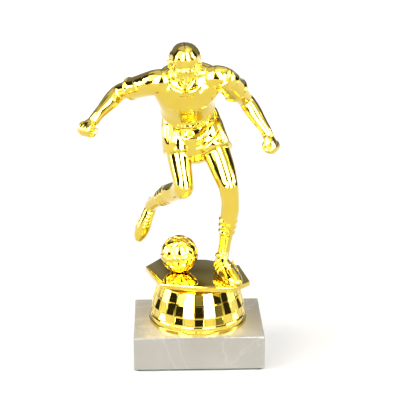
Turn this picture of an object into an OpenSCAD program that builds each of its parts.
// Football figure trophy: a gold player and ball on a plate, clamped through a
// faceted riser to a marble block by one threaded rod.
// Origin: centre of the underside. +Z is up and the player faces -Y.

/* [Marble base] */
// Width of the marble block
base_w = 60; // [54:1:80]
// Depth of the marble block
base_d = 48; // [48:1:70]
// Height of the marble block
base_h = 16; // [14:1:40]
// Thickness of the felt sheet underneath
felt_t = 0.6; // [0.4:0.1:1.5]

/* [Riser] */
// Outer diameter of the riser's rim
riser_d = 46; // [46:0.5:48]
// Height of the riser
riser_h = 20; // [18:0.5:26]
// Facets in one row
facet_count = 28; // [20:2:32]
// Wall thickness of the plastic mouldings
wall = 1.4; // [1:0.1:1.8]

/* [Figure plate] */
// Thickness of the plate that the player stands on
plate_t = 2.4; // [2:0.1:3]
// Diameter of the round spigot under the plate
spigot_d = 14.4; // [14:0.1:16]

/* [Ball] */
// Diameter of the ball
ball_d = 17.8; // [14:0.1:18]

/* [Fixings] */
// Nominal thread diameter of the clamping rod
rod_d = 6; // [5:0.5:6]
// Clearance on diameter of the holes that the rod passes through
rod_play = 0.5; // [0.4:0.1:0.8]

/* [Hidden] */
eps = 0.01;
round_fn = 96;

// Heights of the stack, from the table up
marble_z = felt_t;
riser_z = marble_z + base_h;
plate_z = riser_z + riser_h;
stand_z = plate_z + plate_t;

// Marble block
base_edge = 0.8;
counterbore_d = 22;
counterbore_h = 9;
felt_inset = 1;

// Riser: rim, then three rows of facets on a dome that closes to a flat top
rim_band_h = 1.8;
rim_slope_h = 2.2;
rim_step = 1;
riser_top_d = 30;
row_z = [4, 8, 13.6, 18.6];
dome_r = riser_d / 2 - rim_step;
dome_fall = 0.0186;
spigot_play = 0.4;
spigot_h = 6;

// Plate outline as seen from above, from the left tip round by the front
plate_outline = [[-24.6, 9.4], [-17.7, -13.6], [0.5, -18], [15.4, -19.8],
                 [23.6, -11], [20, 10], [5, 18], [-17.6, 20.9]];

// Metric hex nut for the rod
nut_af = rod_d / 0.6;
nut_h = 5;
nut_play = 0.1;
washer_t = 1.2;
washer_d = 18;
lock_t = 1.6;
lock_d = 11;
lock_gap = 1.2;
nut_seat_z = marble_z + counterbore_h - washer_t - lock_t - nut_h;
rod_bottom = nut_seat_z - 0.8;
rod_top = plate_z + plate_t / 2;
plate_nut_z = plate_z - spigot_h + 0.2;

// Ball, resting on a small flat and a peg
ball_at = [-8.6, 3, stand_z + ball_d / 2 - 0.3];
peg_d = 3;
peg_h = 2;
peg_play = 0.2;
sole_pegs = [[10.4, 2], [15.2, -12]];

// The player's joints, each [x, y, z], and the radius of the body there
chest_r = [-10.6, -7, 123.4];
chest_l = [-1.4, -7, 123.8];
yoke_r = [-14, -11.6, 131];
yoke_l = [5.6, -11.8, 132];
waist_r = [-9.2, 1, 114];
waist_l = [0.6, 1, 114];
hip_r = [-8.6, 8.6, 106];
hip_l = [4.2, 8.6, 106];
neck = [-5.4, -13.4, 134];
skull = [-6, -17.4, 144.1];
jaw = [-6.3, -21.8, 139.2];
shoulder_r = [-18.2, -12, 133.2];
elbow_r = [-35.3, 3, 125.3];
wrist_r = [-44.6, -7, 117.3];
fist_r = [-48.6, -10, 112.4];
shoulder_l = [10.6, -12, 134.4];
elbow_l = [22, 4, 120.9];
wrist_l = [30.7, -4, 108.6];
fist_l = [32.6, -6.4, 103.2];
hem_r = [-8.6, 2.6, 97.4];
knee_r = [-6.4, -4, 82];
calf_r = [-12.4, 7, 76.2];
ankle_r = [-21.4, 23.6, 65];
instep_r = [-24.8, 26.6, 55];
toe_r = [-27.1, 27.2, 48.8];
hem_l = [8.4, 2.4, 98];
knee_l = [13.8, -8, 83.2];
calf_l = [14.2, -4.6, 71.6];
ankle_l = [11.7, 0, 46.8];
heel_l = [10.4, 2.4, 42];
ball_l = [15.4, -12, 41.6];
toe_l = [17.2, -16.6, 41.2];

// Each limb is a pair of joints with the radius at both
LIMBS = [
    [shoulder_r, 5.2, elbow_r, 4.1], [elbow_r, 4.1, wrist_r, 2.9], [wrist_r, 2.9, fist_r, 4.2],
    [shoulder_l, 5.4, elbow_l, 4.1], [elbow_l, 4.1, wrist_l, 2.9], [wrist_l, 2.9, fist_l, 4.4],
    [neck, 4.6, skull, 4.4], [skull, 7.1, jaw, 4.4],
    [hip_r, 8.2, hem_r, 6.8], [hem_r, 6, knee_r, 4.9], [knee_r, 4.8, calf_r, 4.6],
    [calf_r, 4.6, ankle_r, 3], [ankle_r, 3.3, instep_r, 3.7], [instep_r, 3.7, toe_r, 2.9],
    [hip_l, 8.2, hem_l, 7.2], [hem_l, 6.6, knee_l, 4.9], [knee_l, 4.8, calf_l, 4.3],
    [calf_l, 4.3, ankle_l, 3], [ankle_l, 3.3, heel_l, 3.2], [ankle_l, 3.2, ball_l, 3.3],
    [heel_l, 3.2, ball_l, 3.2], [ball_l, 3.2, toe_l, 2.5]
];
// The trunk is three blocks, each between two pairs of joints
TRUNK = [
    [[yoke_r, 5.6], [yoke_l, 5.6], [chest_r, 8], [chest_l, 8]],
    [[chest_r, 8], [chest_l, 8], [waist_r, 7.4], [waist_l, 7.4]],
    [[waist_r, 7.4], [waist_l, 7.4], [hip_r, 8.4], [hip_l, 8.4]]
];
limb_fn = 16;
min_bore = 2.4;

// Parting surface between the two halves: its depth at (x, z) is the mean depth
// of the limbs near there, so it runs along the middle of every limb
PARTING = [
    [shoulder_r, elbow_r], [elbow_r, wrist_r], [wrist_r, fist_r], [shoulder_l, elbow_l],
    [elbow_l, wrist_l], [wrist_l, fist_l], [skull, jaw], [neck, chest_l], [chest_l, hip_l],
    [chest_r, hip_r], [hip_r, knee_r], [knee_r, ankle_r], [ankle_r, toe_r], [hip_l, knee_l],
    [knee_l, ankle_l], [ankle_l, ball_l], [ball_l, toe_l]
];
part_x = [-58, 42];
part_z = [34, 156];
part_nx = 25;
part_nz = 30;
part_back = 45;

function flat(p) = [p.x, p.z];
function along(p, a, b) = min(1, max(0, (p - a) * (b - a) / ((b - a) * (b - a))));
function near_depth(p, limb) =
    let (a = flat(limb[0]), b = flat(limb[1]), t = along(p, a, b), away = norm(p - a - t * (b - a)))
    [1 / pow(1 + away * away, 2), limb[0].y + t * (limb[1].y - limb[0].y)];
function parting_y(x, z) =
    let (found = [for (limb = PARTING) near_depth([x, z], limb)])
    [for (f = found) f[0] * f[1]] * [for (f = found) 1] / ([for (f = found) f[0]] * [for (f = found) 1]);
function ring_r(z) = dome_r - dome_fall * pow(z - row_z[0], 2);

// Solid bounded by rings of points of equal count, the first at the bottom
module ringed(rings) {
    n = len(rings[0]);
    last = len(rings) - 1;
    polyhedron(
        points = [for (ring = rings) each ring],
        faces = [
            [for (i = [0:n - 1]) i],
            for (k = [0:last - 1], i = [0:n - 1])
                [k * n + i, (k + 1) * n + i, (k + 1) * n + (i + 1) % n, k * n + (i + 1) % n],
            [for (i = [n - 1:-1:0]) last * n + i]
        ]);
}

// Everything behind the parting surface
module behind_parting() {
    nx = part_nx;
    nz = part_nz;
    xs = [for (i = [0:nx]) part_x[0] + (part_x[1] - part_x[0]) * i / nx];
    zs = [for (k = [0:nz]) part_z[0] + (part_z[1] - part_z[0]) * k / nz];
    w = nx + 1;
    count = w * (nz + 1);
    polyhedron(
        points = concat([for (z = zs, x = xs) [x, parting_y(x, z), z]],
                        [for (z = zs, x = xs) [x, part_back, z]]),
        faces = concat(
            [for (k = [0:nz - 1], i = [0:nx - 1]) each
                let (a = k * w + i) [[a, a + w, a + 1], [a + 1, a + w, a + w + 1]]],
            [for (k = [0:nz - 1], i = [0:nx - 1]) each
                let (a = count + k * w + i) [[a, a + 1, a + w], [a + 1, a + w + 1, a + w]]],
            [for (i = [0:nx - 1]) each
                let (a = i, b = nz * w + i)
                [[a, a + 1, count + a + 1, count + a], [b + 1, b, count + b, count + b + 1]]],
            [for (k = [0:nz - 1]) each
                let (a = k * w, b = k * w + nx)
                [[a + w, a, count + a, count + a + w], [b, b + w, count + b + w, count + b]]]));
}

// The whole player, with every radius made smaller by inset for the hollow inside
module player(inset = 0) {
    for (limb = LIMBS)
        if (min(limb[1], limb[3]) - inset > min_bore)
            hull() {
                translate(limb[0]) sphere(limb[1] - inset, $fn = limb_fn);
                translate(limb[2]) sphere(limb[3] - inset, $fn = limb_fn);
            }
    for (block = TRUNK)
        hull()
            for (corner = block)
                translate(corner[0]) sphere(corner[1] - inset, $fn = limb_fn);
}

module player_moulding() {
    difference() {
        player();
        player(wall);
        translate([-100, -100, stand_z - 100]) cube([200, 200, 100]);
    }
    for (at = sole_pegs)
        translate([at.x, at.y, stand_z - peg_h + peg_play])
            cylinder(h = peg_h, d = peg_d, $fn = 16);
}

module hex_nut(z) {
    translate([0, 0, z])
        difference() {
            cylinder(h = nut_h, d = nut_af / cos(30), $fn = 6);
            translate([0, 0, -eps]) cylinder(h = nut_h + 2 * eps, d = rod_d, $fn = round_fn);
        }
}

module marble_base() {
    color("gainsboro")
        difference() {
            union() {
                translate([-base_w / 2, -base_d / 2, marble_z + base_edge])
                    cube([base_w, base_d, base_h - 2 * base_edge]);
                for (up = [0, 1])
                    hull() {
                        translate([-base_w / 2, -base_d / 2,
                                   marble_z + (up ? base_h - base_edge - eps : base_edge)])
                            cube([base_w, base_d, eps]);
                        translate([-base_w / 2 + base_edge, -base_d / 2 + base_edge,
                                   marble_z + (up ? base_h - eps : 0)])
                            cube([base_w - 2 * base_edge, base_d - 2 * base_edge, eps]);
                    }
            }
            translate([0, 0, marble_z - eps])
                cylinder(h = counterbore_h + eps, d = counterbore_d, $fn = round_fn);
            translate([0, 0, marble_z])
                cylinder(h = base_h + eps, d = rod_d + rod_play, $fn = round_fn);
        }
}

module base_felt() {
    color("darkgreen")
        translate([-base_w / 2 + felt_inset, -base_d / 2 + felt_inset, 0])
            cube([base_w - 2 * felt_inset, base_d - 2 * felt_inset, felt_t]);
}

module riser_shell() {
    rows = [for (z = row_z)
        [for (i = [0:facet_count - 1])
            [ring_r(z) * cos(360 * i / facet_count), ring_r(z) * sin(360 * i / facet_count), z]]];
    top = [for (i = [0:facet_count - 1])
        [riser_top_d / 2 * cos(360 * i / facet_count), riser_top_d / 2 * sin(360 * i / facet_count),
         riser_h]];
    color("gold")
        translate([0, 0, riser_z])
            difference() {
                union() {
                    ringed(concat(rows, [top]));
                    cylinder(h = rim_band_h, d = riser_d, $fn = round_fn);
                    translate([0, 0, rim_band_h])
                        cylinder(h = rim_slope_h, d1 = riser_d, d2 = riser_d - 2 * rim_step,
                                 $fn = round_fn);
                }
                rotate_extrude($fn = round_fn)
                    polygon([[0, -eps], [riser_d / 2 - wall - 0.6, -eps],
                             [dome_r - wall - 0.4, row_z[0]], [ring_r(row_z[1]) - wall - 0.4, row_z[1]],
                             [ring_r(row_z[2]) - wall - 0.6, row_z[2]],
                             [ring_r(row_z[3]) - wall - 0.8, riser_h - wall - 0.2],
                             [0, riser_h - wall - 0.2]]);
                cylinder(h = riser_h + 1, d = spigot_d + spigot_play, $fn = round_fn);
            }
}

module figure_plate() {
    color("gold")
        difference() {
            union() {
                translate([0, 0, plate_z]) linear_extrude(plate_t) polygon(plate_outline);
                translate([0, 0, plate_z - spigot_h])
                    cylinder(h = spigot_h + eps, d = spigot_d, $fn = round_fn);
            }
            translate([0, 0, plate_nut_z - 1])
                cylinder(h = nut_h + 1 + nut_play, d = (nut_af + 2 * nut_play) / cos(30), $fn = 6);
            translate([0, 0, plate_z - spigot_h])
                cylinder(h = rod_top - plate_z + spigot_h + 0.2, d = rod_d + rod_play, $fn = round_fn);
            for (at = concat(sole_pegs, [[ball_at.x, ball_at.y]]))
                translate([at.x, at.y, stand_z - peg_h])
                    cylinder(h = peg_h + eps, d = peg_d + peg_play, $fn = round_fn);
        }
}

module figure_front_shell() {
    color("gold")
        difference() {
            player_moulding();
            behind_parting();
        }
}

module figure_back_shell() {
    color("goldenrod")
        intersection() {
            player_moulding();
            behind_parting();
        }
}

// One half of the ball, side = -1 for the front and 1 for the back
module ball_half(side) {
    difference() {
        union() {
            translate(ball_at)
                difference() {
                    sphere(d = ball_d, $fn = round_fn);
                    sphere(d = ball_d - 2 * wall, $fn = round_fn);
                    translate([-ball_d, -ball_d, stand_z - ball_at.z - ball_d])
                        cube([2 * ball_d, 2 * ball_d, ball_d]);
                }
            translate([ball_at.x, ball_at.y, stand_z - peg_h + peg_play])
                cylinder(h = peg_h, d = peg_d, $fn = round_fn);
        }
        translate([ball_at.x - ball_d, ball_at.y - (side > 0 ? 2 * ball_d : 0), stand_z - ball_d])
            cube([2 * ball_d, 2 * ball_d, 3 * ball_d]);
    }
}

module ball_front_shell() {
    color("gold") ball_half(-1);
}

module ball_back_shell() {
    color("goldenrod") ball_half(1);
}

module threaded_rod() {
    color("silver")
        translate([0, 0, rod_bottom]) cylinder(h = rod_top - rod_bottom, d = rod_d, $fn = round_fn);
}

module plate_nut() {
    color("silver") hex_nut(plate_nut_z);
}

module base_washer() {
    color("silver")
        translate([0, 0, nut_seat_z + nut_h + lock_t])
            difference() {
                cylinder(h = washer_t, d = washer_d, $fn = round_fn);
                translate([0, 0, -eps])
                    cylinder(h = washer_t + 2 * eps, d = rod_d + rod_play, $fn = round_fn);
            }
}

module lock_washer() {
    color("dimgray")
        translate([0, 0, nut_seat_z + nut_h])
            difference() {
                cylinder(h = lock_t, d = lock_d, $fn = round_fn);
                translate([0, 0, -eps])
                    cylinder(h = lock_t + 2 * eps, d = rod_d + rod_play, $fn = round_fn);
                translate([0, -lock_gap / 2, -eps]) cube([lock_d, lock_gap, lock_t + 2 * eps]);
            }
}

module base_nut() {
    color("silver") hex_nut(nut_seat_z);
}

marble_base();
base_felt();
riser_shell();
figure_plate();
figure_front_shell();
figure_back_shell();
ball_front_shell();
ball_back_shell();
threaded_rod();
plate_nut();
base_washer();
lock_washer();
base_nut();
